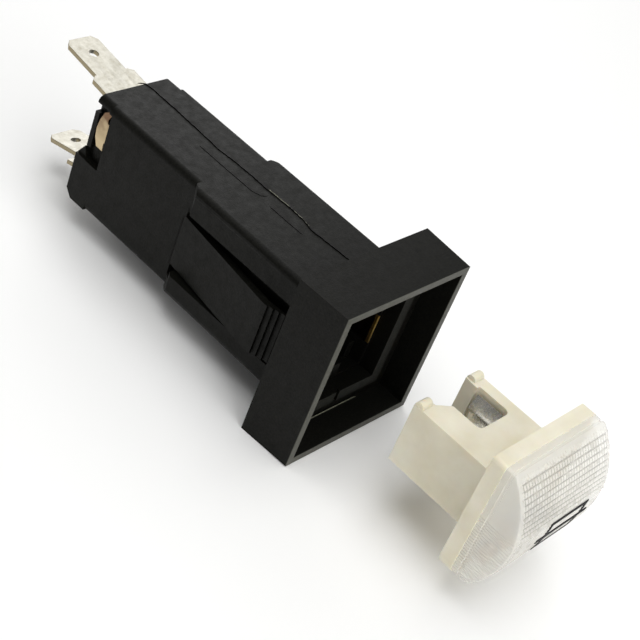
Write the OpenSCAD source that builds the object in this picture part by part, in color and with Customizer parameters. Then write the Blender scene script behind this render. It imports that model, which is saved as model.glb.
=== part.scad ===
// Snap-in panel holder for a quarter by one and a quarter inch cartridge fuse.
// The origin is the centre of the face that rests on the panel.
// X runs across the bezel, Z up it and Y back through the panel.
// The carrier is drawn straight out in front of the holder.

/* [Bezel] */
// Width of the bezel at the panel
bezel_w = 28.8; // [28.4:0.1:29.2]
// Height of the bezel at the panel
bezel_h = 29.6; // [29.2:0.1:30]
// How far the bezel stands in front of the panel
bezel_d = 9.4; // [9.2:0.1:9.8]
// How much the bezel narrows to its front on each side
bezel_taper_x = 0.4; // [0.2:0.1:0.5]
// How much the bezel lowers to its front at top and bottom
bezel_taper_z = 0.2; // [0.1:0.1:0.4]
// Width of the pocket in the bezel
pocket_w = 25.6; // [25.2:0.1:25.8]
// Height of the pocket in the bezel
pocket_h = 26.9; // [26.4:0.1:27]
// Depth of the pocket in the bezel
pocket_d = 5; // [4.8:0.1:5.2]

/* [Body] */
// Width of the body just behind the panel
front_w = 19.4; // [19.2:0.1:19.6]
// Width of the body at the back
rear_w = 16.2; // [16.2:0.1:16.4]
// Height of the body
body_h = 20.4; // [20.2:0.1:20.6]
// Length of the body behind the panel
body_l = 50.8; // [50.6:0.1:51.2]
// How much further back the lower part of the body reaches
heel_l = 1.4; // [1.2:0.1:1.6]
// Distance of the fuse axis to the right of the middle
fuse_x = 1.6; // [1.5:0.1:1.7]
// Rounding of the body's long edges
body_r = 1.2; // [0.8:0.1:1.4]
// Where the body narrows, behind the panel
step_y = 25.2; // [25:0.1:25.4]
// Length of the ramp where the body narrows
step_l = 1.8; // [1.6:0.1:1.8]

/* [Latch arms] */
// Lower edge of an arm
arm_bottom = -5.8; // [-5.9:0.1:-5.7]
// Upper edge of an arm
arm_top = 3.7; // [3.6:0.1:3.8]
// How far an arm's crest stands from the middle
arm_crest = 10.9; // [10.8:0.05:10.95]
// Depth of each tooth on an arm
tooth_in = 0.36; // [0.34:0.01:0.36]
// Spacing of the teeth on an arm
tooth_y = 0.95; // [0.9:0.01:0.96]

/* [Terminals] */
// Width of a tab
tab_w = 6.3; // [6.2:0.05:6.35]
// Thickness of a tab
tab_t = 0.8; // [0.75:0.05:0.8]
// Radius of the hole in a tab
tab_hole_r = 0.85; // [0.8:0.05:0.9]
// Length of the upper terminal outside the body
line_tab_l = 14.6; // [14.4:0.1:14.8]
// Length of the lower terminal outside the body
load_tab_l = 12; // [11.8:0.1:12.2]
// Upward bend of the upper tab in degrees
line_tilt = 7.2; // [6.5:0.1:8]
// Downward bend of the lower tab in degrees
load_tilt = 12.6; // [12:0.1:13]

/* [Carrier] */
// Distance from the panel face to the back of the flange when drawn out
carrier_out = 36; // [35:0.5:38]
// Width of the flange and lens
flange_w = 22.4; // [22:0.1:22.6]
// Height of the flange and lens
flange_h = 22.2; // [22:0.1:22.4]
// Thickness of the flange
flange_t = 2.4; // [2.2:0.1:2.6]
// Width of the fuse block
block_w = 14.8; // [14.6:0.1:14.8]
// Height of the fuse block
block_h = 11; // [10.8:0.1:11]
// Depth of the fuse block
block_d = 15.3; // [15.1:0.1:15.4]
// Inner radius of the fuse clip
clip_r = 3.15; // [3.1:0.01:3.2]
// Thickness of the clip's spring sheet
clip_t = 0.35; // [0.3:0.01:0.36]

/* [Lens] */
// How far the lens stands in front of the flange
lens_d = 6.75; // [6.6:0.05:6.9]
// Radius of the lens's curved front
lens_r = 15.3; // [15.2:0.1:15.6]
// Wall of the lens
lens_t = 1.1; // [1:0.05:1.2]

/* [Hidden] */
$fn = 64;
eps = 0.01;

// Heights and half widths inside the housing
wall_in = 7.6;
wall_out = 8.2;
mouth_half_w = 8.1;
mouth_half_h = 9.2;
cavity_half_h = 8.8;
cavity_end = 11;
channel_left = 5;
channel_right = 6.3;
channel_bottom = -7;
channel_top = 8.4;
channel_end = 47.9;
lip_w = 2.1;
lip_h = 0.6;
ledge_y = pocket_d - bezel_d;
mouth_end = -2.2;
rail_top = -5.75;
rib_top = -6.4;
rib_half_w = 2.2;

// Latch arms: the root, the window around an arm and the tip
arm_root_x = 7.6;
arm_root_y = 27.2;
arm_root_r = 0.5;
socket_gap = 0.06;
window_front = 2.6;
window_back = 27;
window_bottom = -6.3;
notch_bottom = -7.8;
window_top = 5.7;
arm_tip = 2.9;
arm_tip_in = 9.35;
arm_crest_y = 6.7;

// Terminals inside the body
line_z = 7.5;
load_z = -6.1;
plate_y = 47;
ear_x = -7.7;
shoulder_w = 8.8;
line_shoulder_l = 6;
load_shoulder_w = 12.4;
load_shoulder_l = 4.1;
leg_x = -4.95;
leg_front = 33.6;
strip_t = 0.3;
strip_x = 7.65;
strip_top = 1.1;
strip_bottom = -4.6;
strip_back = 46;
strip_rear_x = 5.95;
lamp_strip_t = 0.35;
lamp_strip_half_w = 1.5;
spring_root_x = -3.45;
spring_root_y = 35.8;
spring_reach = 2.6;
spring_half_h = 2.2;
foot_t = 0.35;
rivet_r = 0.8;
rivet_head_r = 1.3;
rivet_y = 42;
foot_rivet_x = 2.9;
foot_rivet_y = 45;

// Parts behind the lens, measured from the back of the flange
lamp_r = 2;
lamp_l = 9.4;
lamp_y = -4.9;
lamp_z = -2.4;
lamp_x = 1.6;
resistor_r = 0.95;
resistor_l = 4.6;
resistor_x = -3.6;
resistor_y = -4.2;
resistor_z = -7.4;
wire_r = 0.25;
bend_r = 0.27;
lead_gap = 0.7;
lead_x = -5.6;
join_x = -7.9;
seat_y = 6.9;
clip_y = 7.5;
clip_l = 4.8;
groove_depth = 0.3;

// Turns a shape drawn in X and Z so that it is extruded along +Y
module along_y(y0, length) {
    translate([0, y0 + length, 0])
        rotate([90, 0, 0])
            linear_extrude(height = length)
                children();
}

// Turns a shape drawn in Y and Z so that it is extruded along +X
module along_x(x0, length) {
    translate([x0, 0, 0])
        rotate([90, 0, 90])
            linear_extrude(height = length)
                children();
}

// Box given by its low and high corners
module block(low, high) {
    translate(low)
        cube([high[0] - low[0], high[1] - low[1], high[2] - low[2]]);
}

// Upright rectangle with round corners, the top and bottom ones apart
module round_rect(w, h, r_top, r_bottom) {
    translate([-w / 2, -h / 2 + r_bottom])
        square([w, h - r_top - r_bottom]);
    translate([-w / 2 + r_top, -h / 2])
        translate([0, h - r_top])
            square([w - 2 * r_top, r_top]);
    translate([-w / 2 + r_bottom, -h / 2])
        square([w - 2 * r_bottom, r_bottom]);
    for (side = [-1, 1]) {
        translate([side * (w / 2 - r_top), h / 2 - r_top])
            circle(r = r_top);
        translate([side * (w / 2 - r_bottom), -h / 2 + r_bottom])
            circle(r = r_bottom);
    }
}

// Bezel block, a little smaller at its front
module bezel_block() {
    wb = bezel_w / 2;
    hb = bezel_h / 2;
    wf = wb - bezel_taper_x;
    hf = hb - bezel_taper_z;
    intersection() {
        translate([0, 0, -hb])
            linear_extrude(height = bezel_h)
                polygon([[-wb, 0], [-wf, -bezel_d], [wf, -bezel_d], [wb, 0]]);
        along_x(-wb, bezel_w)
            polygon([[0, -hb], [0, hb], [-bezel_d, hf], [-bezel_d, -hf]]);
    }
}

// Body behind the panel: wide at the front, then a ramp down to the rear
module body_block() {
    fw = front_w / 2;
    rw = rear_w / 2;
    back = body_l + heel_l;
    collar_y = body_l - 3.3;
    along_y(-eps, step_y + eps)
        round_rect(front_w, body_h, body_r, body_r);
    intersection() {
        translate([0, 0, -body_h / 2])
            linear_extrude(height = body_h)
                polygon([[-fw, step_y - 1], [fw, step_y - 1], [fw, step_y],
                    [rw, step_y + step_l], [-rw, step_y + step_l], [-fw, step_y]]);
        along_y(step_y - 2, step_l + 2)
            round_rect(front_w, body_h, body_r, body_r);
    }
    intersection() {
        union() {
            along_y(step_y - 1, collar_y - step_y + 1)
                round_rect(rear_w, body_h, body_r, body_r);
            along_y(collar_y - eps, back - collar_y + eps)
                round_rect(rear_w - 0.9, body_h, body_r, body_r);
            block([-rw, collar_y - eps, -body_h / 2], [rw, back, -1.7]);
        }
        along_x(-rw, rear_w)
            polygon([[step_y - 1, -body_h / 2], [back - 1.3, -body_h / 2],
                [back, -body_h / 2 + 1.4], [back, -1.6], [body_l, 0.6],
                [body_l, body_h / 2], [step_y - 1, body_h / 2]]);
    }
}

// Room around one latch arm, on the side given by the sign
module arm_window(side) {
    translate([0, 0, window_bottom])
        linear_extrude(height = window_top - window_bottom)
            polygon([[side * wall_out, window_front], [side * wall_out, 11.8],
                [side * 7.7, 12.8], [side * 6.75, window_back],
                [side * 12, window_back], [side * 12, window_front]]);
    block([min(side * 6.9, side * 12), window_back - 1, notch_bottom],
        [max(side * 6.9, side * 12), window_back + 0.2, arm_bottom - socket_gap]);
    translate([side * arm_root_x, arm_root_y, arm_bottom - socket_gap])
        cylinder(r = arm_root_r + socket_gap, h = arm_top - arm_bottom + 2 * socket_gap);
}

// Everything that is hollow inside the housing
module housing_hollow() {
    block([-pocket_w / 2, -bezel_d - 1, -pocket_h / 2], [pocket_w / 2, ledge_y, pocket_h / 2]);
    block([-mouth_half_w, ledge_y - 1, -mouth_half_h], [mouth_half_w, mouth_end, mouth_half_h]);
    difference() {
        block([-wall_in, mouth_end - 1, -cavity_half_h], [wall_in, cavity_end, cavity_half_h]);
        block([-rib_half_w, mouth_end, -10], [rib_half_w, cavity_end, rib_top]);
        for (side = [-1, 1])
            block([side * 6.9 - 0.8, 0, -10], [side * 6.9 + 0.8, cavity_end, rail_top]);
    }
    difference() {
        block([-channel_left, cavity_end - 1, channel_bottom],
            [channel_right, channel_end, channel_top]);
        block([-rib_half_w, cavity_end - 1, channel_bottom - 1], [rib_half_w, 40.2, rib_top]);
    }
}

// Slots, windows and grooves for the metal parts
module contact_slots() {
    block([strip_x - 1, mouth_end - 1, strip_bottom - 0.1],
        [strip_x + strip_t + 0.02, cavity_end, strip_top + 0.1]);
    block([-shoulder_w / 2 - 0.1, channel_end - 1, line_z - 0.05],
        [shoulder_w / 2 + 0.1, body_l + 1, line_z + tab_t + 0.05]);
    block([-load_shoulder_w / 2 + 1.7, channel_end - 1, load_z - 0.05],
        [load_shoulder_w / 2 - 1.7, body_l + heel_l + 1, load_z + tab_t + 0.05]);
    block([-9, 46.9, -1.8], [-6.8, 49.9, 8.9]);
    block([ear_x - 0.05, 46.9, 2.9], [-4.9, channel_end, 7.1]);
    block([-9, 49.2, 7.3], [-6.6, body_l + 1, 8.9]);
    along_x(-9, 2.4)
        polygon([[49.8, 0.6], [51.2, 0.6], [50.2, -1.7], [49.8, -1.8]]);
}

module housing() {
    color([0.13, 0.125, 0.12])
        difference() {
            union() {
                bezel_block();
                body_block();
            }
            difference() {
                housing_hollow();
                lip();
            }
            for (side = [-1, 1])
                arm_window(side);
            contact_slots();
        }
}

// Raised frame around the mouth, with a keyway at the bottom
module lip() {
    difference() {
        block([-mouth_half_w - lip_w, ledge_y - lip_h, -mouth_half_h - lip_w],
            [mouth_half_w + lip_w, ledge_y + eps, mouth_half_h + lip_w]);
        block([-mouth_half_w, ledge_y - lip_h - 1, -mouth_half_h],
            [mouth_half_w, ledge_y + 1, mouth_half_h]);
        block([-0.4, ledge_y - lip_h - 1, -mouth_half_h - lip_w - 1], [0.4, ledge_y - eps, 0]);
    }
}

// Sprung arm with a toothed end that grips the back of the panel
module latch_arm(side) {
    x1 = arm_crest;
    y1 = arm_crest_y - tooth_y;
    color([0.13, 0.125, 0.12])
        translate([0, 0, arm_bottom]) {
            linear_extrude(height = arm_top - arm_bottom)
                polygon([for (p = [[arm_root_x + arm_root_r, arm_root_y], [x1, arm_crest_y], [x1, y1],
                    [x1 - tooth_in, y1], [x1 - tooth_in, y1 - tooth_y],
                    [x1 - 2 * tooth_in, y1 - tooth_y], [x1 - 2 * tooth_in, y1 - 2 * tooth_y],
                    [x1 - 3 * tooth_in, y1 - 2 * tooth_y], [x1 - 3 * tooth_in, arm_tip],
                    [arm_tip_in, arm_tip], [9.6, 6.5],
                    [arm_root_x - arm_root_r, arm_root_y]]) [side * p[0], p[1]]]);
            translate([side * arm_root_x, arm_root_y, 0])
                cylinder(r = arm_root_r, h = arm_top - arm_bottom);
        }
}

module latch_arm_left() {
    latch_arm(-1);
}

module latch_arm_right() {
    latch_arm(1);
}

// Strip that runs back inside the body, bends at the back wall and ends as a tab.
// The sides are points in X and distance past the bend, for the right half only.
module bent_tab(inside, bend, z0, tilt, length, sides) {
    crop = 1.1;
    half = tab_w / 2;
    reach = length + 1;
    hole_s = length - 3.8;
    end_y = bend + reach * cos(tilt);
    end_z = z0 + reach * sin(tilt);
    ends = [[half, sides[len(sides) - 1][1]], [half, length - crop], [half - crop * 0.8, length]];
    right = [for (p = concat([[shoulder_w / 2, inside - bend]], sides, ends)) [p[0], p[1] * cos(tilt)]];
    left = [for (i = [len(right) - 1 : -1 : 0]) [-right[i][0], right[i][1]]];
    difference() {
        intersection() {
            along_x(-load_shoulder_w, 2 * load_shoulder_w)
                polygon([[inside, z0], [bend, z0], [end_y, end_z],
                    [end_y - tab_t * sin(tilt), end_z + tab_t * cos(tilt)],
                    [bend - tab_t * tan(tilt / 2), z0 + tab_t], [inside, z0 + tab_t]]);
            translate([0, bend, z0 - 20])
                linear_extrude(height = 40)
                    polygon(concat(right, left));
        }
        translate([0, bend, z0])
            rotate([tilt, 0, 0])
                translate([0, hole_s, -1])
                    cylinder(r = tab_hole_r, h = tab_t + 2);
    }
}

// Round rod along X, for a rivet or the hole that it fills
module x_rod(x0, x1, y, z) {
    translate([x0, y, z])
        rotate([0, 90, 0])
            cylinder(r = rivet_r, h = x1 - x0);
}

// Upper terminal: tab, plate inside the back wall, side ear and long leg
module line_terminal() {
    half = shoulder_w / 2;
    sides = [[half, line_shoulder_l - 0.7], [tab_w / 2 + 0.3, line_shoulder_l]];
    color([0.78, 0.76, 0.71])
        difference() {
            union() {
                bent_tab(plate_y, body_l, line_z, line_tilt, line_tab_l, sides);
                block([-half, plate_y, -2.5], [half, plate_y + tab_t, line_z + tab_t]);
                block([ear_x, plate_y, 3.2], [0, plate_y + tab_t, 6.8]);
                block([leg_x, leg_front, -2.5], [leg_x + tab_t, plate_y + tab_t, 2.5]);
                along_x(ear_x, tab_t)
                    polygon([[47.3, 1.7], [48.8, 1.7], [49.5, 3.2], [49.7, 4.8], [49.4, 6.6],
                        [48.8, 8.2], [48, 8.8], [47.2, 8.5], [47.7, 7.4], [47.4, 6], [47.4, 2.6]]);
            }
            x_rod(leg_x - 1, leg_x + 2, rivet_y, 0);
        }
}

// Lower terminal: tab with two ears and the plate that carries the side contact
module load_terminal() {
    half = shoulder_w / 2;
    ear = load_shoulder_w / 2;
    sides = [[half, 0.3], [ear, 0.3], [ear, load_shoulder_l - 0.9], [half, load_shoulder_l - 0.9],
        [half, load_shoulder_l - 0.5], [tab_w / 2 + 0.3, load_shoulder_l]];
    color([0.78, 0.76, 0.71])
        difference() {
            bent_tab(43.2, body_l + heel_l, load_z, -load_tilt, load_tab_l, sides);
            translate([foot_rivet_x, foot_rivet_y, load_z - 1])
                cylinder(r = rivet_r, h = tab_t + 2);
        }
}

// Brass strip on the right wall that meets the clip's wing
module side_contact() {
    height = strip_top - strip_bottom;
    foot_z = load_z + tab_t;
    outer_x = strip_x + strip_t;
    rear_outer_x = strip_rear_x + strip_t;
    jog_y = cavity_end - 0.02;
    color([0.83, 0.64, 0.3])
        difference() {
            union() {
                translate([0, 0, strip_bottom])
                    linear_extrude(height = height)
                        polygon([[strip_x, mouth_end], [outer_x, mouth_end], [outer_x, jog_y],
                            [rear_outer_x, jog_y], [rear_outer_x, strip_back],
                            [strip_rear_x, strip_back], [strip_rear_x, jog_y - strip_t],
                            [strip_x, jog_y - strip_t]]);
                block([strip_rear_x, 43.4, foot_z], [rear_outer_x, strip_back, strip_bottom + 0.1]);
                block([1.2, 43.4, foot_z], [rear_outer_x, strip_back, foot_z + strip_t]);
            }
            translate([foot_rivet_x, foot_rivet_y, foot_z - 1])
                cylinder(r = rivet_r, h = 3);
        }
}

// Brass strip along the floor rib for the lamp circuit
module lamp_contact() {
    ear_x0 = leg_x + tab_t;
    color([0.83, 0.64, 0.3])
        difference() {
            union() {
                block([-lamp_strip_half_w, -1.2, rib_top], [lamp_strip_half_w, 40, rib_top + lamp_strip_t]);
                block([ear_x0, 37.8, rib_top], [lamp_strip_half_w, 40, rib_top + lamp_strip_t]);
                block([ear_x0, 37.8, rib_top], [ear_x0 + lamp_strip_t, 40, 2]);
                block([ear_x0, 37.8, -1.8], [ear_x0 + lamp_strip_t, 43.6, 2]);
            }
            x_rod(ear_x0 - 1, ear_x0 + 2, rivet_y, 0);
        }
}

// Leaf that presses on the back cap of the fuse
module rear_contact_spring() {
    root_r = 0.35;
    apex_y = spring_root_y - spring_reach;
    color([0.78, 0.6, 0.34])
        translate([0, 0, -spring_half_h]) {
            linear_extrude(height = 2 * spring_half_h)
                polygon([[spring_root_x, spring_root_y - root_r], [fuse_x - 0.8, apex_y],
                    [fuse_x + 0.8, apex_y], [fuse_x + 3.8, apex_y + 1.8], [fuse_x + 3.6, apex_y + 2.1],
                    [fuse_x + 0.7, apex_y + 0.35], [fuse_x - 0.7, apex_y + 0.35],
                    [spring_root_x, spring_root_y + root_r]]);
            translate([spring_root_x, spring_root_y, 0])
                cylinder(r = root_r, h = 2 * spring_half_h);
        }
}

// Fixed end of that leaf, riveted to the long leg
module rear_contact_foot() {
    x0 = leg_x + tab_t + lamp_strip_t;
    color([0.78, 0.6, 0.34])
        difference() {
            block([x0, spring_root_y, -spring_half_h], [x0 + foot_t, 43.6, spring_half_h]);
            translate([spring_root_x, spring_root_y, -spring_half_h - 1])
                cylinder(r = 0.45, h = 2 * spring_half_h + 2);
            x_rod(x0 - 1, x0 + 2, rivet_y, 0);
        }
}

// Rivets that join the strips and the foot to the terminals
module terminal_rivets() {
    leg_stack = tab_t + lamp_strip_t + foot_t;
    foot_top = load_z + tab_t + strip_t;
    color([0.7, 0.68, 0.62]) {
        x_rod(leg_x, leg_x + leg_stack, rivet_y, 0);
        translate([leg_x + leg_stack, rivet_y, 0])
            rotate([0, 90, 0])
                cylinder(r = rivet_head_r, h = 0.5);
        translate([foot_rivet_x, foot_rivet_y, load_z])
            cylinder(r = rivet_r, h = foot_top - load_z);
        translate([foot_rivet_x, foot_rivet_y, foot_top])
            cylinder(r = rivet_head_r, h = 0.5);
    }
}

// Places a part of the carrier, drawn from the back of the flange
module on_carrier() {
    translate([0, -carrier_out, 0])
        children();
}

// Well in the block for the clip, wider at its back as a lead-in
module clip_well() {
    half = clip_r + clip_t + 0.15;
    well_l = 6;
    translate([0, 0, -4])
        linear_extrude(height = 12) {
            translate([fuse_x, seat_y + well_l / 2])
                round_rect(2 * half, well_l, 0.4, 1);
            polygon([[fuse_x - half + 0.2, 12], [-4.4, 13.6], [-4.9, block_d + 0.1],
                [4.8, block_d + 0.1], [4.6, 13.6], [fuse_x + half - 0.6, 12]]);
        }
}

// Ivory moulding: flange, fuse block and the ridge that holds the lens
module carrier_body() {
    half_w = block_w / 2;
    half_h = block_h / 2;
    rim_w = flange_w - 2 * lens_t - 0.2;
    rim_h = flange_h - 2 * lens_t - 0.2;
    color([0.9, 0.87, 0.79])
        on_carrier()
            difference() {
                union() {
                    along_y(-flange_t, flange_t)
                        round_rect(flange_w, flange_h, 0.8, 2.6);
                    along_y(-flange_t - 0.8, 0.8 + eps)
                        difference() {
                            round_rect(rim_w, rim_h, 0.9, 2.7);
                            square([rim_w - 1.6, rim_h - 1.6], center = true);
                        }
                    block([-half_w, -eps, -half_h], [half_w, block_d, half_h]);
                    for (side = [-1, 1])
                        translate([side * (half_w - 1.25), block_d - 0.8, half_h])
                            rotate([0, 90, 0])
                                cylinder(r = 0.8, h = 2.3, center = true);
                }
                clip_well();
                block([-1.8, -flange_t - 1, -half_h - 1], [1.8, block_d + 1, -half_h + groove_depth]);
                block([fuse_x + clip_r, clip_y + 1.2, -2.4], [half_w + 1, clip_y + 4, 0.4]);
                translate([fuse_x, clip_y + clip_l / 2, -half_h - 1]) {
                    cylinder(r = rivet_r, h = 4);
                    cylinder(r = rivet_head_r, h = 1 + groove_depth);
                }
                translate([lead_x, 1, lamp_z + lead_gap])
                    rotate([90, 0, 0])
                        cylinder(r = 0.6, h = flange_t + 2);
            }
}

// Open spring clip around the fuse cap, with a wing to the side contact
module fuse_clip() {
    outer = clip_r + clip_t;
    base_z = -4;
    pad_x = strip_x - 0.1;
    lips = [[2.3, 2.15], [2.95, 3.5], [3.35, 4.6], [3, 4.7], [2.5, 3.7], [2, 2.9], [1.88, 2.53]];
    color([0.8, 0.8, 0.78])
        on_carrier()
            difference() {
                union() {
                    along_y(clip_y, clip_l)
                        translate([fuse_x, 0])
                            difference() {
                                union() {
                                    circle(r = outer);
                                    translate([-1.6, base_z])
                                        square([3.2, 1]);
                                }
                                circle(r = clip_r);
                                polygon([[0, 0], [-6, 8], [6, 8]]);
                            }
                    along_y(clip_y, clip_l)
                        for (side = [-1, 1])
                            polygon([for (p = lips) [fuse_x + side * p[0], p[1]]]);
                    block([fuse_x + clip_r + 0.05, clip_y + 1.6, -2.2], [pad_x, clip_y + 1.6 + clip_t, 0.2]);
                    block([pad_x - clip_t, clip_y + 1.6, -2.2], [pad_x, clip_y + 3.8, 0.2]);
                }
                translate([fuse_x, clip_y + clip_l / 2, base_z - 1])
                    cylinder(r = rivet_r, h = 3);
            }
}

// Rivet that holds the clip to the block
module clip_rivet() {
    head_z = -block_h / 2 + groove_depth;
    color([0.75, 0.74, 0.7])
        on_carrier()
            translate([fuse_x, clip_y + clip_l / 2, head_z]) {
                cylinder(r = rivet_r - 0.02, h = -clip_r - 0.05 - head_z);
                translate([0, 0, -0.35])
                    cylinder(r = rivet_head_r - 0.1, h = 0.35);
            }
}

// Strip under the block that carries the lamp circuit to the floor strip
module lamp_wiper() {
    top = -block_h / 2 + groove_depth;
    width = 1.5;
    color([0.83, 0.64, 0.3])
        on_carrier() {
            block([-width, -flange_t - 0.4, top - lamp_strip_t], [width, 7.4, top]);
            block([-width, -flange_t - 0.4, top - 3], [width, -flange_t, top]);
            block([-width, 5.4, top - 0.75], [width, 7.4, top]);
        }
}

// Clear cap with a front that bulges in one direction
module lens_solid(w, h, depth, r) {
    centre = -flange_t - depth + r;
    intersection() {
        along_y(-flange_t - depth - 1, depth + 1)
            round_rect(w, h, 0.8, 2.6);
        along_x(-w / 2, w)
            intersection() {
                translate([centre, 0])
                    circle(r = r, $fn = 128);
                translate([-flange_t - depth - 1, -h / 2])
                    square([depth + 1, h]);
            }
    }
}

module lens() {
    color([0.9, 0.92, 0.92, 0.5])
        on_carrier()
            difference() {
                lens_solid(flange_w - 0.1, flange_h - 0.1, lens_d, lens_r);
                translate([0, eps, 0])
                    lens_solid(flange_w - 0.1 - 2 * lens_t, flange_h - 0.1 - 2 * lens_t,
                        lens_d - lens_t, lens_r - lens_t);
            }
}

// Small neon lamp lying across behind the lens
module lamp_bulb() {
    color([0.85, 0.8, 0.78, 0.5])
        on_carrier()
            translate([lamp_x - lamp_l / 2, lamp_y, lamp_z])
                rotate([0, 90, 0])
                    difference() {
                        union() {
                            cylinder(r = lamp_r, h = lamp_l - lamp_r);
                            translate([0, 0, lamp_l - lamp_r])
                                sphere(r = lamp_r);
                        }
                        translate([0, 0, 1.2])
                            cylinder(r = lamp_r - 0.35, h = lamp_l - lamp_r - 1.2);
                    }
}

// Two parallel rods inside the lamp
module lamp_electrodes() {
    color([0.45, 0.43, 0.4])
        on_carrier()
            for (side = [-1, 1])
                translate([lamp_x - lamp_l / 2 + 1.2, lamp_y, lamp_z + side * lead_gap])
                    rotate([0, 90, 0])
                        cylinder(r = 0.35, h = 5.2);
}

// Length of wire along X
module wire_x(x0, x1, y, z) {
    translate([x0, y, z])
        rotate([0, 90, 0])
            cylinder(r = wire_r, h = x1 - x0);
}

// Length of wire along Y, a hair thicker so that it closes round the bend
module wire_y(x, y0, y1, z) {
    translate([x, y1, z])
        rotate([90, 0, 0])
            cylinder(r = bend_r, h = y1 - y0);
}

// Wires of the lamp: one back through the flange, one down to the resistor
module lamp_leads() {
    x1 = lamp_x - lamp_l / 2;
    top_z = lamp_z + lead_gap;
    low_z = lamp_z - lead_gap;
    foot_z = resistor_z + bend_r + 0.03;
    color([0.76, 0.6, 0.45])
        on_carrier() {
            wire_x(lead_x, x1, lamp_y, top_z);
            wire_y(lead_x, lamp_y - bend_r, -0.6, top_z);
            wire_x(join_x, x1, lamp_y, low_z);
            translate([join_x, lamp_y, foot_z])
                cylinder(r = bend_r, h = low_z + bend_r - foot_z);
        }
}

// Body of the series resistor
module resistor_body() {
    color([0.8, 0.62, 0.44])
        on_carrier()
            translate([resistor_x - resistor_l / 2, resistor_y, resistor_z])
                rotate([0, 90, 0])
                    cylinder(r = resistor_r, h = resistor_l);
}

// Rounded ends of the resistor
module resistor_caps() {
    cap_l = 0.9;
    color([0.78, 0.6, 0.42])
        on_carrier()
            for (side = [-1, 1])
                translate([resistor_x + side * (resistor_l / 2 + cap_l / 2), resistor_y, resistor_z])
                    rotate([0, 90, 0])
                        cylinder(r = resistor_r + 0.15, h = cap_l, center = true);
}

// Wires on the two ends of the resistor
module resistor_leads() {
    reach = resistor_l / 2 + 0.9;
    tongue_x = 0.6;
    color([0.78, 0.77, 0.74])
        on_carrier() {
            wire_x(join_x, resistor_x - reach, resistor_y, resistor_z);
            wire_y(join_x, lamp_y - bend_r, resistor_y + bend_r, resistor_z);
            wire_x(resistor_x + reach, tongue_x, resistor_y, resistor_z);
            wire_y(tongue_x, resistor_y - bend_r, -flange_t - 0.4, resistor_z);
        }
}

housing();
latch_arm_left();
latch_arm_right();
line_terminal();
load_terminal();
side_contact();
lamp_contact();
rear_contact_spring();
rear_contact_foot();
terminal_rivets();
carrier_body();
fuse_clip();
clip_rivet();
lamp_wiper();
lens();
lamp_bulb();
lamp_electrodes();
lamp_leads();
resistor_body();
resistor_caps();
resistor_leads();
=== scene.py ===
import math
import random

import bmesh
import bpy
from mathutils import Matrix, Vector


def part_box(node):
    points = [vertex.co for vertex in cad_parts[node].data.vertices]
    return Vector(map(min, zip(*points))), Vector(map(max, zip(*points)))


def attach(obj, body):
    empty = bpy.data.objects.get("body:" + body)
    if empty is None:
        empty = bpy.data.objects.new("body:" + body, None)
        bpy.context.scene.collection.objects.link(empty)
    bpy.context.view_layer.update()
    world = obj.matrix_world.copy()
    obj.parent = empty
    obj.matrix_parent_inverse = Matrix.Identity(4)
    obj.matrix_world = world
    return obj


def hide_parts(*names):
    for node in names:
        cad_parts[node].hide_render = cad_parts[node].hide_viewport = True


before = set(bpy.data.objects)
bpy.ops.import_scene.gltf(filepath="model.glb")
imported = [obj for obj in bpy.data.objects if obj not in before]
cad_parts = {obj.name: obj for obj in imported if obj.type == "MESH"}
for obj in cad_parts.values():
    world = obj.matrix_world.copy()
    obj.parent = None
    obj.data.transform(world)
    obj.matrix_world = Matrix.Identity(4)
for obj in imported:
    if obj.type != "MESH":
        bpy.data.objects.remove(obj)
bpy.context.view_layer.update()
print("frame loaded:", len(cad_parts), "nodes")

mm = 0.001


def toObject(bm, name, material, body, smoothAngle=35):
    # finishes a bmesh as a piece that rides on a body
    bmesh.ops.recalc_face_normals(bm, faces=bm.faces)
    mesh = bpy.data.meshes.new(name)
    bm.to_mesh(mesh)
    bm.free()
    for polygon in mesh.polygons:
        polygon.use_smooth = True
    mesh.set_sharp_from_angle(angle=math.radians(smoothAngle))
    piece = bpy.data.objects.new(name, mesh)
    bpy.context.scene.collection.objects.link(piece)
    piece.data.materials.append(material)
    even = piece.modifiers.new("evenShading", "WEIGHTED_NORMAL")
    even.keep_sharp = True
    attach(piece, body)
    return piece


def cadCopy(node):
    # the node's own mesh, welded, with its flat faces made whole
    weld = 0.001 * mm
    flatWithin = math.radians(0.4)
    bm = bmesh.new()
    bm.from_mesh(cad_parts[node].data)
    bmesh.ops.remove_doubles(bm, verts=bm.verts, dist=weld)
    bmesh.ops.dissolve_limit(bm, angle_limit=flatWithin, verts=bm.verts, edges=bm.edges)
    return bm


def softenEdges(bm, width, angle, spare=None):
    # rounds every edge sharper than the angle, but for a stretch in Y that is spared
    rings = 2
    fullness = 0.6  # 0.5 is a plain quarter round
    sharp = []
    for e in bm.edges:
        if not e.is_manifold or e.calc_face_angle(0) <= math.radians(angle):
            continue
        if spare and all(spare[0] < v.co.y < spare[1] for v in e.verts):
            continue
        sharp.append(e)
    bmesh.ops.bevel(bm, geom=sharp, offset=width, segments=rings, profile=fullness,
                    affect="EDGES", clamp_overlap=True, loop_slide=True)


def refined(node, material, body, width, angle, name=None, spare=None):
    # a softened copy that stands for the node
    bm = cadCopy(node)
    softenEdges(bm, width, angle, spare=spare)
    piece = toObject(bm, name or node + "_finished", material, body)
    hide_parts(node)
    return piece


def skin(bm, rings, capped=True):
    # faces between rings of points, and one over each end
    for first, second in zip(rings, rings[1:]):
        for i in range(len(first)):
            k = (i + 1) % len(first)
            bm.faces.new((first[i], first[k], second[k], second[i]))
    if capped:
        bm.faces.new(rings[0])
        bm.faces.new(rings[-1])


def newMaterial(name):
    material = bpy.data.materials.new(name)
    material.use_nodes = True
    nodes = material.node_tree.nodes
    links = material.node_tree.links
    return material, nodes, links, nodes["Principled BSDF"]


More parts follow.
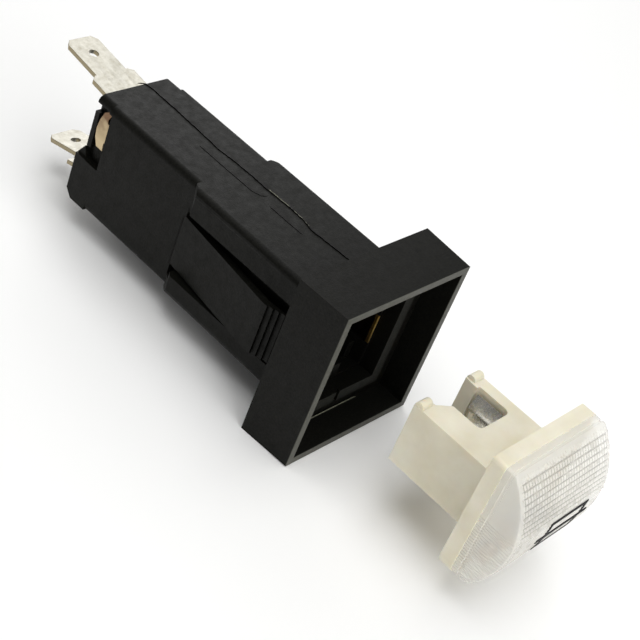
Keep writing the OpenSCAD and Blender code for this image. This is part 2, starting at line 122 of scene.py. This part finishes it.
def noiseAt(nodes, links, scale, detail=3.0, rough=0.5, stretch=(1, 1, 1)):
    coords = nodes.new("ShaderNodeTexCoord")
    mapping = nodes.new("ShaderNodeMapping")
    mapping.inputs["Scale"].default_value = stretch
    noise = nodes.new("ShaderNodeTexNoise")
    noise.inputs["Scale"].default_value = scale
    noise.inputs["Detail"].default_value = detail
    noise.inputs["Roughness"].default_value = rough
    links.new(coords.outputs["Object"], mapping.inputs["Vector"])
    links.new(mapping.outputs["Vector"], noise.inputs["Vector"])
    return noise.outputs["Fac"]


def spread(nodes, links, source, low, high, fromLow=0.3, fromHigh=0.7):
    # maps a value on to a range; noise mostly lies between 0.3 and 0.7
    ranged = nodes.new("ShaderNodeMapRange")
    ranged.inputs["From Min"].default_value = fromLow
    ranged.inputs["From Max"].default_value = fromHigh
    ranged.inputs["To Min"].default_value = low
    ranged.inputs["To Max"].default_value = high
    links.new(source, ranged.inputs["Value"])
    return ranged.outputs["Result"]


def along(nodes, links, axis, low, high, kind="Object"):
    # goes from 0 to 1 between two places on an axis
    coords = nodes.new("ShaderNodeTexCoord")
    split = nodes.new("ShaderNodeSeparateXYZ")
    links.new(coords.outputs[kind], split.inputs["Vector"])
    return spread(nodes, links, split.outputs[axis], 0, 1, low, high)


def mixed(nodes, links, factor, base, over):
    # lays a plain colour over another colour
    mix = nodes.new("ShaderNodeMix")
    mix.data_type = "RGBA"
    links.new(factor, mix.inputs["Factor"])
    links.new(base, mix.inputs["A"])
    mix.inputs["B"].default_value = (*over, 1)
    return mix.outputs["Result"]


def product(nodes, links, a, b):
    times = nodes.new("ShaderNodeMath")
    times.operation = "MULTIPLY"
    links.new(a, times.inputs[0])
    links.new(b, times.inputs[1])
    return times.outputs["Value"]


def twoTone(nodes, links, source, dark, light, low=0.35, high=0.65):
    ramp = nodes.new("ShaderNodeValToRGB")
    ramp.color_ramp.elements[0].position = low
    ramp.color_ramp.elements[0].color = (*dark, 1)
    ramp.color_ramp.elements[1].position = high
    ramp.color_ramp.elements[1].color = (*light, 1)
    links.new(source, ramp.inputs["Fac"])
    return ramp.outputs["Color"]


def bumped(nodes, links, bsdf, source, strength, distance):
    bump = nodes.new("ShaderNodeBump")
    bump.inputs["Strength"].default_value = strength
    bump.inputs["Distance"].default_value = distance
    links.new(source, bump.inputs["Height"])
    links.new(bump.outputs["Normal"], bsdf.inputs["Normal"])


def blackMoulding(name="blackMoulding", share=1.0):
    # share scales the two dark tones; places are in mm behind the bezel's front, or behind the frame's
    look = {"dark": (0.0026, 0.0026, 0.0019), "light": (0.0068, 0.0068, 0.0050), "cloud": 2600,
            "rimHighlight": (0.085, 0.085, 0.072), "rimHighlightFade": (0.14, 0.04),
            "framed": (0.019, 0.019, 0.016), "frameBack": 4.4, "frameStart": (-0.1, -0.05),
            "frameEnd": (0.25, 0.2), "facingFront": (-0.6, -0.9),
            "gloss": 700, "roughLow": 0.40, "roughHigh": 0.58,
            "grain": 4200, "grainStrength": 0.7, "grainDeep": 0.04}
    material, nodes, links, bsdf = newMaterial(name)
    cloud = noiseAt(nodes, links, look["cloud"], 4, 0.6)
    dark = tuple(c * share for c in look["dark"])
    light = tuple(c * share for c in look["light"])
    tone = twoTone(nodes, links, cloud, dark, light)
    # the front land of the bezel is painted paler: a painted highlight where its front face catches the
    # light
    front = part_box("housing")[0].y
    rimHighlight = along(nodes, links, "Y", *(front + d * mm for d in look["rimHighlightFade"]))
    # and the raised frame round the mouth catches a little more light than the pocket
    frameFrom = front + look["frameBack"] * mm
    forward = along(nodes, links, "Y", *look["facingFront"], "Normal")
    starts = along(nodes, links, "Y", *(frameFrom + d * mm for d in look["frameStart"]))
    ends = along(nodes, links, "Y", *(frameFrom + d * mm for d in look["frameEnd"]))
    onFrame = product(nodes, links, forward, product(nodes, links, starts, ends))
    tone = mixed(nodes, links, onFrame, tone, look["framed"])
    links.new(mixed(nodes, links, rimHighlight, tone, look["rimHighlight"]), bsdf.inputs["Base Color"])
    gloss = noiseAt(nodes, links, look["gloss"], 5, 0.65)
    links.new(spread(nodes, links, gloss, look["roughLow"], look["roughHigh"]), bsdf.inputs["Roughness"])
    bsdf.inputs["Specular IOR Level"].default_value = 0.12
    grain = noiseAt(nodes, links, look["grain"], 2, 0.7)
    bumped(nodes, links, bsdf, grain, look["grainStrength"], look["grainDeep"] * mm)
    return material


def tinPlate():
    look = {"dark": (0.38, 0.36, 0.30), "light": (0.50, 0.485, 0.43), "blotch": 900,
            "cut": (0.33, 0.28, 0.18), "facingSide": (-0.6, -0.8),
            "pale": (0.56, 0.45, 0.28), "windowX": (-6.4, -7.0),
            "copper": (0.20, 0.12, 0.07), "copperZ": (3.2, 7.6), "patch": 330,
            "drawn": 1500, "roughLow": 0.3, "roughHigh": 0.48, "drawnStrength": 0.22, "drawnDeep": 0.02}
    material, nodes, links, bsdf = newMaterial("tinPlate")
    bsdf.inputs["Metallic"].default_value = 1.0
    blotch = noiseAt(nodes, links, look["blotch"], 6, 0.75)
    plate = twoTone(nodes, links, blotch, look["dark"], look["light"], 0.36, 0.6)
    # the sheared edges show the brass, and the strap in the side window has lost some of its plate
    cut = along(nodes, links, "X", *look["facingSide"], "Normal")
    plate = mixed(nodes, links, cut, plate, look["cut"])
    atWindow = along(nodes, links, "X", *(x * mm for x in look["windowX"]))
    plate = mixed(nodes, links, atWindow, plate, look["pale"])
    worn = spread(nodes, links, noiseAt(nodes, links, look["patch"], 4, 0.6), 0.4, 1, 0.4, 0.56)
    upper = along(nodes, links, "Z", *(z * mm for z in look["copperZ"]))
    patches = product(nodes, links, product(nodes, links, atWindow, upper), worn)
    links.new(mixed(nodes, links, patches, plate, look["copper"]), bsdf.inputs["Base Color"])
    drawn = noiseAt(nodes, links, look["drawn"], 4, 0.7, (1, 0.06, 1))
    links.new(spread(nodes, links, drawn, look["roughLow"], look["roughHigh"]), bsdf.inputs["Roughness"])
    bumped(nodes, links, bsdf, drawn, look["drawnStrength"], look["drawnDeep"] * mm)
    return material


def contactBrass():
    # brass at its front end, with painted shade further in where the strip lies in the dark of the mouth
    look = {"bright": (0.86, 0.58, 0.16), "dark": (0.70, 0.45, 0.14),
            "paintedShade": (0.030, 0.020, 0.012), "paintedShadeFade": (0.5, 0.7)}
    material, nodes, links, bsdf = newMaterial("contactBrass")
    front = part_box("side_contact")[0].y
    tone = twoTone(nodes, links, noiseAt(nodes, links, 500, 4, 0.6), look["dark"], look["bright"])
    # painted shade from just behind the front end inwards
    inside = along(nodes, links, "Y", *(front + d * mm for d in look["paintedShadeFade"]))
    links.new(mixed(nodes, links, inside, tone, look["paintedShade"]), bsdf.inputs["Base Color"])
    bsdf.inputs["Metallic"].default_value = 1.0
    gloss = noiseAt(nodes, links, 900, 3, 0.5)
    links.new(spread(nodes, links, gloss, 0.3, 0.42), bsdf.inputs["Roughness"])
    bumped(nodes, links, bsdf, gloss, 0.08, 0.01 * mm)
    return material


def metal(name, dark, light, roughLow, roughHigh, stretch=(1, 1, 1)):
    material, nodes, links, bsdf = newMaterial(name)
    bsdf.inputs["Metallic"].default_value = 1.0
    tone = twoTone(nodes, links, noiseAt(nodes, links, 500, 4, 0.6), dark, light)
    links.new(tone, bsdf.inputs["Base Color"])
    drawn = noiseAt(nodes, links, 2200, 3, 0.6, stretch)
    links.new(spread(nodes, links, drawn, roughLow, roughHigh), bsdf.inputs["Roughness"])
    bumped(nodes, links, bsdf, drawn, 0.15, 0.015 * mm)
    return material


def ivoryMoulding():
    # glow is the light that goes into the plastic and comes out again nearby
    look = {"dark": (0.70, 0.645, 0.49), "light": (0.81, 0.77, 0.635), "cloud": 160,
            "glow": 0.45, "glowReach": 1.1, "glowTint": (1.0, 0.75, 0.4),
            "gloss": 900, "roughLow": 0.34, "roughHigh": 0.5,
            "ripple": 1400, "rippleStrength": 0.25, "rippleDeep": 0.03}
    material, nodes, links, bsdf = newMaterial("ivoryMoulding")
    cloud = noiseAt(nodes, links, look["cloud"], 4, 0.55)
    tone = twoTone(nodes, links, cloud, look["dark"], look["light"], 0.25, 0.7)
    links.new(tone, bsdf.inputs["Base Color"])
    bsdf.inputs["Subsurface Weight"].default_value = look["glow"]
    bsdf.inputs["Subsurface Radius"].default_value = look["glowTint"]
    bsdf.inputs["Subsurface Scale"].default_value = look["glowReach"] * mm
    gloss = noiseAt(nodes, links, look["gloss"], 4, 0.6)
    links.new(spread(nodes, links, gloss, look["roughLow"], look["roughHigh"]), bsdf.inputs["Roughness"])
    ripple = noiseAt(nodes, links, look["ripple"], 3, 0.6)
    bumped(nodes, links, bsdf, ripple, look["rippleStrength"], look["rippleDeep"] * mm)
    return material


def clearMoulding(name, tint, transmission, solid, roughLow, roughHigh):
    # solid is the share of light that the wall itself catches
    darker = 0.96
    material, nodes, links, bsdf = newMaterial(name)
    bsdf.inputs["Alpha"].default_value = solid
    bsdf.inputs["Transmission Weight"].default_value = transmission
    bsdf.inputs["IOR"].default_value = 1.49
    dark = tuple(c * darker for c in tint)
    tone = twoTone(nodes, links, noiseAt(nodes, links, 240, 3, 0.5), dark, tint)
    links.new(tone, bsdf.inputs["Base Color"])
    haze = noiseAt(nodes, links, 800, 3, 0.6)
    links.new(spread(nodes, links, haze, roughLow, roughHigh), bsdf.inputs["Roughness"])
    bumped(nodes, links, bsdf, noiseAt(nodes, links, 600, 2, 0.5), 0.12, 0.03 * mm)
    return material


def lensMoulding():
    # clear plastic with painted glints: a painted highlight on the raised relief, painted shade in the
    # valleys and on one flank
    look = {"valleyShade": (0.36, 0.355, 0.325), "raised": (0.98, 0.965, 0.91),
            "flankShade": (0.46, 0.45, 0.41), "flankStart": (0.1, 0.4), "flankEnd": (0.95, 0.8),
            "dull": (0.72, 0.705, 0.65), "unlitFacetShare": 0.75, "fleck": 900,
            "solid": 0.50, "transmission": 0.2, "roughLow": 0.04, "roughHigh": 0.12}
    material = clearMoulding("lensClear", look["raised"], look["transmission"], look["solid"],
                             look["roughLow"], look["roughHigh"])
    nodes, links = material.node_tree.nodes, material.node_tree.links
    bsdf = nodes["Principled BSDF"]
    relief = nodes.new("ShaderNodeAttribute")
    relief.attribute_name = "relief"
    tone = twoTone(nodes, links, relief.outputs["Fac"], look["valleyShade"], look["raised"], 0.02, 0.34)
    # painted shade on the flanks turned towards +X
    facing = product(nodes, links, along(nodes, links, "X", *look["flankStart"], "Normal"),
                     along(nodes, links, "X", *look["flankEnd"], "Normal"))
    tone = mixed(nodes, links, facing, tone, look["flankShade"])
    # painted shade on some facets, as if they catch no light, but the smooth walls stay even
    fleck = noiseAt(nodes, links, look["fleck"], 1, 0.5)
    dull = spread(nodes, links, fleck, 0, look["unlitFacetShare"], 0.52, 0.66)
    faceted = spread(nodes, links, relief.outputs["Fac"], 1, 0, 0.9, 0.99)
    links.new(mixed(nodes, links, product(nodes, links, dull, faceted), tone, look["dull"]),
              bsdf.inputs["Base Color"])
    return material


def printedInk():
    look = {"dark": (0.006, 0.006, 0.006), "light": (0.02, 0.02, 0.02), "roughLow": 0.45, "roughHigh": 0.65}
    material, nodes, links, bsdf = newMaterial("printedInk")
    speckle = noiseAt(nodes, links, 3000, 3, 0.6)
    links.new(twoTone(nodes, links, speckle, look["dark"], look["light"]), bsdf.inputs["Base Color"])
    links.new(spread(nodes, links, speckle, look["roughLow"], look["roughHigh"]), bsdf.inputs["Roughness"])
    bsdf.inputs["Specular IOR Level"].default_value = 0.1
    return material


def resistorCoat(bands, x0, x1):
    # tan lacquer with its value rings at shares of the length
    bandWide = 0.08
    material, nodes, links, bsdf = newMaterial("resistorCoat")
    ramp = nodes.new("ShaderNodeValToRGB")
    ramp.color_ramp.interpolation = "CONSTANT"
    base = (0.66, 0.46, 0.27, 1)
    ramp.color_ramp.elements[0].color = base
    ramp.color_ramp.elements[1].position = bands[0][0]
    ramp.color_ramp.elements[1].color = (*bands[0][1], 1)
    for i, (at, colour) in enumerate(bands):
        if i:
            ramp.color_ramp.elements.new(at).color = (*colour, 1)
        ramp.color_ramp.elements.new(at + bandWide).color = base
    links.new(along(nodes, links, "X", x0, x1), ramp.inputs["Fac"])
    links.new(ramp.outputs["Color"], bsdf.inputs["Base Color"])
    gloss = noiseAt(nodes, links, 1200, 3, 0.5)
    links.new(spread(nodes, links, gloss, 0.18, 0.34), bsdf.inputs["Roughness"])
    bumped(nodes, links, bsdf, gloss, 0.15, 0.02 * mm)
    return material


black = blackMoulding()
# the flash ridges get a black at a quarter of the body's tone: painted shade, so they read as a dark line
seamPaintedShade = blackMoulding("seamPaintedShade", 0.25)
# a pale copy of the black, for painted highlights on the flash and along the pocket floor
paintedGlint = blackMoulding("paintedGlint", 50)
tin = tinPlate()
brassInPaintedShade = contactBrass()
brass = metal("bareBrass", (0.62, 0.40, 0.13), (0.83, 0.60, 0.24), 0.2, 0.36, (1, 0.08, 1))
bronze = metal("springBronze", (0.60, 0.38, 0.18), (0.76, 0.54, 0.28), 0.24, 0.4, (1, 0.1, 1))
bright = metal("brightClip", (0.62, 0.61, 0.57), (0.82, 0.81, 0.77), 0.16, 0.32, (1, 1, 0.2))
rivetGrey = metal("rivetGrey", (0.48, 0.46, 0.42), (0.66, 0.64, 0.6), 0.28, 0.42)
dullMetal = metal("electrodeMetal", (0.28, 0.26, 0.24), (0.42, 0.4, 0.38), 0.35, 0.5)
wire = metal("leadWire", (0.62, 0.44, 0.34), (0.78, 0.6, 0.48), 0.22, 0.36)
ivory = ivoryMoulding()
lensClear = lensMoulding()
lampClear = clearMoulding("lampClear", (0.98, 0.97, 0.96), 0.9, 0.5, 0.02, 0.06)
ink = printedInk()
print("materials made")


def makeHousing():
    look = {"edge": 0.14, "armEdge": 0.08, "rootFromEnd": 0.5, "rootReach": 0.9}
    # the arms are one moulding with the body, so their roots stay sharp and closed
    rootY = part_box("latch_arm_left")[1].y - look["rootFromEnd"] * mm
    root = (rootY - look["rootReach"] * mm, rootY + look["rootReach"] * mm)
    refined("housing", black, "holder", look["edge"] * mm, 50, "housing_shell", root)
    for side, body in (("left", "latch_left"), ("right", "latch_right")):
        refined("latch_arm_" + side, black, body, look["armEdge"] * mm, 30,
                "latch_" + side, root)


def makeFlash():
    # thin wavy ridges where the two halves of the mould met on the top face, as places (x, y) in mm
    look = {"height": 0.16, "half": 0.12, "wobble": 0.05, "step": 0.45, "seed": 5, "bodyTop": 10.2,
            "sunk": 0.05, "endShare": 0.3,
            "main": [(0.8, 51.4), (1.9, 50.8), (2.2, 49.6), (2.1, 43.6), (1.8, 37.3), (1.5, 32.6), (1.8, 29),
                     (1.9, 25.1), (1.8, 20.9), (2, 16.6), (1.9, 13.5), (1.3, 11), (1.8, 3.4), (1.8, 0.2)],
            "faintBack": [(-0.9, 34.3), (-0.95, 28), (-0.9, 22), (-0.3, 20.6), (0.56, 20.1)],
            "faintFront": [(-0.9, 18.1), (-0.95, 14), (-0.9, 10.8)],
            "glint": [(2.1, 21.4), (2.15, 16.6), (2.05, 13.5), (1.55, 11.6)]}
    wander = random.Random(look["seed"])
    top = look["bodyTop"]
    # the seam ridges carry painted shade, and the glint ridge a painted highlight
    for name, share, material in (("main", 1.0, seamPaintedShade), ("faintBack", 0.45, seamPaintedShade),
                                  ("faintFront", 0.45, seamPaintedShade), ("glint", 0.5, paintedGlint)):
        route = look[name]
        points = []
        for (x0, y0), (x1, y1) in zip(route, route[1:]):
            count = max(1, round(math.dist((x0, y0), (x1, y1)) / look["step"]))
            for i in range(count):
                t = i / count
                points.append((x0 + (x1 - x0) * t + wander.uniform(-1, 1) * look["wobble"] * share,
                               y0 + (y1 - y0) * t))
        points.append(route[-1])
        bm = bmesh.new()
        rings = []
        for i, (x, y) in enumerate(points):
            ends = look["endShare"] if i in (0, len(points) - 1) else 1.0
            half = look["half"] * (0.55 + 0.45 * share) * ends * wander.uniform(0.8, 1.1)
            height = look["height"] * share * ends * wander.uniform(0.7, 1.0)
            # steep on one side, sloping on the other
            profile = [(-half, -look["sunk"]), (-half * 0.9, height), (half * 0.2, height * 0.9),
                       (half, -look["sunk"])]
            rings.append([bm.verts.new(Vector((x + dx, y, top + dz)) * mm) for dx, dz in profile])
        skin(bm, rings)
        toObject(bm, "mould_flash_" + name, material, "holder", 60)


def makePocketBead():
    # a low bead along the floor of the pocket near its back wall, all in pale material as a painted
    # highlight
    look = {"from": -12.6, "to": 6.5, "y": -4.72, "floor": -13.47, "half": 0.12, "height": 0.18,
            "crest": 0.7, "taper": 0.6, "tip": 0.25, "edge": 0.03}
    bm = bmesh.new()
    rings = []
    for x, share in ((look["from"], 1.0), (look["to"] - look["taper"], 1.0), (look["to"], look["tip"])):
        half = look["half"] * share
        height = look["height"] * share
        crest = half * look["crest"]
        profile = [(-half, 0), (-crest, height), (crest, height), (half, 0)]
        rings.append([bm.verts.new(Vector((x, look["y"] + dy, look["floor"] + dz)) * mm)
                      for dy, dz in profile])
    skin(bm, rings)
    softenEdges(bm, look["edge"] * mm, 30)
    toObject(bm, "pocket_beads", paintedGlint, "holder")


def makeMetalParts():
    edges = {"strips": 0.07, "spring": 0.04, "rivets": 0.18, "clipRivet": 0.12, "wiper": 0.06, "clip": 0.05}
    for node, material, slot in (
            ("line_terminal", tin, "tinned_brass"), ("load_terminal", tin, "tinned_brass"),
            ("side_contact", brassInPaintedShade, "bare_brass"), ("lamp_contact", brass, "bare_brass"),
            ("rear_contact_foot", bronze, "bare_brass")):
        refined(node, material, "holder", edges["strips"] * mm, 50)
    refined("rear_contact_spring", bronze, "rear_spring", edges["spring"] * mm, 50)
    refined("terminal_rivets", rivetGrey, "holder", edges["rivets"] * mm, 50)
    refined("clip_rivet", rivetGrey, "carrier", edges["clipRivet"] * mm, 50)
    refined("lamp_wiper", brass, "carrier", edges["wiper"] * mm, 50)
    refined("fuse_clip", bright, "carrier", edges["clip"] * mm, 50)


def lensCorners():
    # the lens's own corners in mm
    low, high = [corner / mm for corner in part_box("lens")]
    return low, high


def makeCarrier():
    look = {"edge": 0.26, "flangeDeep": 2.4, "standOff": 0.02}
    body = refined("carrier_body", ivory, "carrier", look["edge"] * mm, 50)
    # the flange is behind the lens, and its back stands a hair clear of the frame it rests on when seated
    seat = (lensCorners()[1].y + look["flangeDeep"]) * mm
    standOff = look["standOff"] * mm
    for v in body.data.vertices:
        if seat - standOff < v.co.y < seat + standOff:
            v.co.y = seat - standOff


# lengths in mm: radius is the dome's, split is the height where the flutes end and the pyramids begin,
# groove is a list of places on the side wall as (from its back, inwards)
lens = {"wall": 1.1, "radius": 15.3, "topRound": 0.8, "bottomRound": 2.6, "innerRound": 0.6,
        "edge": 0.28, "edgeSteps": (0, 0.08, 0.3, 0.62, 1), "endFall": 0.6, "shortest": 0.3,
        "pyramidX": 0.66, "pyramidZ": 0.84, "pyramidHigh": 0.3, "fluteZ": 0.5, "fluteHigh": 0.1,
        "scallop": 0.1, "split": 1.7, "groove": [(1.5, 0), (1.4, 0.16), (1.05, 0.16), (0.95, 0)]}


def halfWidth(z, w, h, grow=0.0):
    # half width of the lens at a height, round at its corners
    top = lens["topRound"] + grow
    bottom = lens["bottomRound"] + grow
    if z > h - top:
        return w - top + math.sqrt(max(0, top ** 2 - (z - h + top) ** 2))
    if z < -h + bottom:
        return w - bottom + math.sqrt(max(0, bottom ** 2 - (z + h - bottom) ** 2))
    return w


def roundBack(t, r):
    # how far an edge falls away at a distance t in from it
    return 0 if t >= r else r - math.sqrt(r * r - (r - t) ** 2)


def lensRows(h):
    # heights of the rows of points, and the number of the first row of the pyramids
    near = [lens["edge"] * share for share in lens["edgeSteps"]]
    rows = [-h + t for t in near]
    start = rows[-1]
    flutes = round((lens["split"] - start) / (lens["fluteZ"] / 2))
    rows += [start + (lens["split"] - start) * i / flutes for i in range(1, flutes + 1)]
    top = h - lens["edge"]
    pyramids = round((top - lens["split"]) / lens["pyramidZ"])
    rows += [lens["split"] + (top - lens["split"]) * i / pyramids for i in range(1, pyramids + 1)]
    rows += [h - t for t in reversed(near[:-1])]
    return rows, len(near) + flutes


def makeLens():
    weld = 0.0005 * mm
    low, high = lensCorners()
    w = (high.x - low.x) / 2
    h = (high.z - low.z) / 2
    cx = (high.x + low.x) / 2
    cz = (high.z + low.z) / 2
    rimY = high.y
    rows, firstPyramid = lensRows(h)
    columns = round(2 * (w - lens["edge"]) / lens["pyramidX"])
    near = [lens["edge"] * share for share in lens["edgeSteps"][:-1]]
    edgeRows = len(lens["edgeSteps"])
    lastPyramid = len(rows) - edgeRows
    bm = bmesh.new()
    # relief is 1 where the lens colour gets its painted highlight and 0 where it gets painted shade
    raised = bm.verts.layers.float.new("relief")

    def domeY(z, depthLess):
        r = lens["radius"] - depthLess
        return low.y + lens["pyramidHigh"] + depthLess + r - math.sqrt(r * r - z * z)

    def sheetOf(width, height, depthLess, relief):
        # a grid of points over the dome, with flutes and pyramids on the outer one
        grid = []
        shrink = height / h
        for j, z0 in enumerate(rows):
            z = z0 * shrink
            half = halfWidth(z, width, height, -lens["wall"] * lens["innerRound"] if depthLess else 0)
            if relief and edgeRows <= j < lastPyramid and j % 2:
                half -= lens["scallop"]  # shallow flutes down the two sides
            inside = half - lens["edge"]
            xs = [-half + t for t in near]
            xs += [(-half + lens["edge"]) + 2 * inside * i / columns for i in range(columns + 1)]
            xs += [half - t for t in reversed(near)]
            row = []
            for x in xs:
                sideFall = roundBack(half - abs(x), lens["edge"])
                endFall = roundBack(height - abs(z), lens["edge"]) * lens["endFall"]
                y = domeY(z, depthLess)
                y += sideFall + endFall
                fluted = edgeRows <= j < firstPyramid and abs(x) < inside
                crest = fluted and (j - firstPyramid) % 2
                if relief and crest:
                    y -= lens["fluteHigh"]
                y = min(y, rimY - lens["shortest"])
                vert = bm.verts.new(Vector((cx + x, y, cz + z)) * mm)
                inPyramids = firstPyramid <= j < lastPyramid and abs(x) < inside
                vert[raised] = 0.0 if relief and (inPyramids or fluted and not crest) else 1.0
                row.append(vert)
            grid.append(row)
        return grid

    outer = sheetOf(w, h, 0, True)
    inner = sheetOf(w - lens["wall"], h - lens["wall"], lens["wall"], False)
    toPeak = Vector((0, -lens["pyramidHigh"] * mm, 0))
    for grid, relief in ((outer, True), (inner, False)):
        for j in range(len(rows) - 1):
            for i in range(len(grid[0]) - 1):
                quad = (grid[j][i], grid[j][i + 1], grid[j + 1][i + 1], grid[j + 1][i])
                inColumns = len(near) <= i < len(near) + columns
                if relief and inColumns and firstPyramid - 1 <= j < lastPyramid:
                    tip = bm.verts.new(sum((v.co for v in quad), Vector()) / 4 + toPeak)
                    tip[raised] = 1.0
                    for a, b in zip(quad, quad[1:] + quad[:1]):
                        bm.faces.new((a, b, tip))
                else:
                    bm.faces.new(quad)

    def rim(grid):
        # the points round the outside of a grid
        loop = list(grid[0])
        loop += [row[-1] for row in grid[1:]]
        loop += list(reversed(grid[-1][:-1]))
        loop += [row[0] for row in reversed(grid[1:-1])]
        return loop

    outerRim, innerRim = rim(outer), rim(inner)

    def sideRing(loop, fromBack, inset):
        ring = []
        y = (rimY - fromBack) * mm
        for v in loop:
            vert = bm.verts.new(Vector((v.co.x * (1 - inset / w), y, v.co.z * (1 - inset / h))))
            vert[raised] = 1.0
            ring.append(vert)
        return ring

    # the side wall has a groove round it
    rings = [outerRim] + [sideRing(outerRim, fromBack, inset) for fromBack, inset in lens["groove"]]
    rings += [sideRing(outerRim, 0, 0), sideRing(innerRim, 0, 0), innerRim]
    skin(bm, rings, False)
    bmesh.ops.remove_doubles(bm, verts=bm.verts, dist=weld)
    piece = toObject(bm, "lens_cap", lensClear, "carrier", 24)
    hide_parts("lens")


def makeLegend():
    # the drawing symbol for a fuse: a box with a line through it, leaning like print
    look = {"x": 2.1, "z": -1.35, "halfLong": 4.3, "halfTall": 2.3, "tail": 1.7, "stroke": 0.6,
            "lean": 0.28, "sunk": 0.02, "lift": 0.13, "thick": 0.05, "crest": 0.7, "pieces": 14}
    low, high = lensCorners()
    cz = (high.z + low.z) / 2
    r = lens["radius"]
    bm = bmesh.new()

    def onDome(u, v, lift):
        x = look["x"] + u + look["lean"] * v
        z = look["z"] + v
        y = low.y + lens["pyramidHigh"] + r - math.sqrt(r * r - z * z) - lift
        return Vector((x, y, cz + z)) * mm

    def stroke(u0, v0, u1, v1):
        run = math.dist((u0, v0), (u1, v1))
        du, dv = (u1 - u0) / run, (v1 - v0) / run
        half = look["stroke"] / 2
        top = look["lift"] + look["thick"]
        profile = [(-1, -look["sunk"]), (-1, look["lift"]), (-look["crest"], top),
                   (look["crest"], top), (1, look["lift"]), (1, -look["sunk"])]
        rings = []
        for i in range(look["pieces"] + 1):
            t = -half + (run + 2 * half) * i / look["pieces"]
            ring = []
            for side, lift in profile:
                u = u0 + du * t - dv * half * side
                v = v0 + dv * t + du * half * side
                ring.append(bm.verts.new(onDome(u, v, lift)))
            rings.append(ring)
        skin(bm, rings)

    a, b, tail = look["halfLong"], look["halfTall"], look["tail"]
    stroke(-a, b, a, b)
    stroke(-a, -b, a, -b)
    stroke(-a, -b, -a, b)
    stroke(a, -b, a, b)
    stroke(-a - tail, 0, a + tail, 0)
    toObject(bm, "lens_symbol", ink, "carrier", 50)


def makeLamp():
    edges = {"resistor": 0.03, "caps": 0.3, "bulb": 0.15, "electrodes": 0.1, "leads": 0.03}
    bands = [(0.16, (0.25, 0.1, 0.04)), (0.34, (0.03, 0.03, 0.03)), (0.52, (0.75, 0.3, 0.03)),
             (0.76, (0.6, 0.42, 0.12))]
    low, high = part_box("resistor_caps")
    coat = resistorCoat(bands, low.x, high.x)
    refined("resistor_body", coat, "carrier", edges["resistor"] * mm, 60)
    refined("resistor_caps", coat, "carrier", edges["caps"] * mm, 60)
    refined("lamp_bulb", lampClear, "carrier", edges["bulb"] * mm, 60)
    refined("lamp_electrodes", dullMetal, "carrier", edges["electrodes"] * mm, 60)
    refined("lamp_leads", wire, "carrier", edges["leads"] * mm, 60)
    refined("resistor_leads", wire, "carrier", edges["leads"] * mm, 60)


def makeStage():
    look = {"size": 1.6, "tone": (0.96, 0.96, 0.95), "rough": 0.8, "sky": (1, 1, 1), "skyStrength": 0.22}
    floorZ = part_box("housing")[0].z
    bm = bmesh.new()
    bmesh.ops.create_grid(bm, x_segments=4, y_segments=4, size=look["size"])
    mesh = bpy.data.meshes.new("floor")
    bm.to_mesh(mesh)
    bm.free()
    floor = bpy.data.objects.new("floor", mesh)
    floor.location = (0, 0, floorZ)
    bpy.context.scene.collection.objects.link(floor)
    material, nodes, links, bsdf = newMaterial("paleFloor")
    bsdf.inputs["Base Color"].default_value = (*look["tone"], 1)
    bsdf.inputs["Roughness"].default_value = look["rough"]
    mesh.materials.append(material)
    world = bpy.data.worlds.new("studio")
    world.use_nodes = True
    sky = world.node_tree.nodes["Background"]
    sky.inputs["Color"].default_value = (*look["sky"], 1)
    sky.inputs["Strength"].default_value = look["skyStrength"]
    bpy.context.scene.world = world


def makeLights():
    # places and sizes in metres, all aimed at the middle of the part
    lights = {"key": {"at": (-0.02, -0.04, 0.50), "size": 0.50, "watts": 2.0},
              "front": {"at": (-0.12, -0.42, 0.20), "size": 0.34, "watts": 1.1},
              "sheen": {"at": (0.28, 0.34, 0.22), "size": 0.30, "watts": 0.75}}
    for name, spec in lights.items():
        data = bpy.data.lights.new(name, "AREA")
        data.size = spec["size"]
        data.energy = spec["watts"]
        lamp = bpy.data.objects.new(name, data)
        lamp.location = spec["at"]
        lamp.rotation_euler = (-Vector(spec["at"])).to_track_quat("-Z", "Y").to_euler()
        bpy.context.scene.collection.objects.link(lamp)


def makeCamera():
    # aim and distance in mm, turns in degrees
    view = {"aim": (-0.3, 2.7, -0.6), "distance": 236, "across": 60.16, "above": 36.77, "roll": 22.77,
            "lens": 87.5, "nearest": 0.01}
    across, above, roll = (math.radians(view[k]) for k in ("across", "above", "roll"))
    forward = Vector((math.sin(across) * math.cos(above),
                      math.cos(across) * math.cos(above),
                      -math.sin(above)))
    right = Vector((forward.y, -forward.x, 0)).normalized()
    upright = right.cross(forward)
    up = upright * math.cos(roll) - right * math.sin(roll)
    side = forward.cross(up)
    data = bpy.data.cameras.new("camera")
    data.lens = view["lens"]
    data.clip_start = view["nearest"]
    camera = bpy.data.objects.new("camera", data)
    turn = Matrix((side, up, -forward)).transposed().to_4x4()
    place = (Vector(view["aim"]) - forward * view["distance"]) * mm
    camera.matrix_world = Matrix.Translation(place) @ turn
    bpy.context.scene.collection.objects.link(camera)
    bpy.context.scene.camera = camera


makeCamera()
makeStage()
makeLights()
bpy.context.scene.view_settings.view_transform = "Standard"
print("stage, lights and camera made")
makeHousing()
makeFlash()
makePocketBead()
print("housing made")
makeMetalParts()
print("metal parts made")
makeCarrier()
makeLens()
makeLegend()
makeLamp()
print("carrier made")
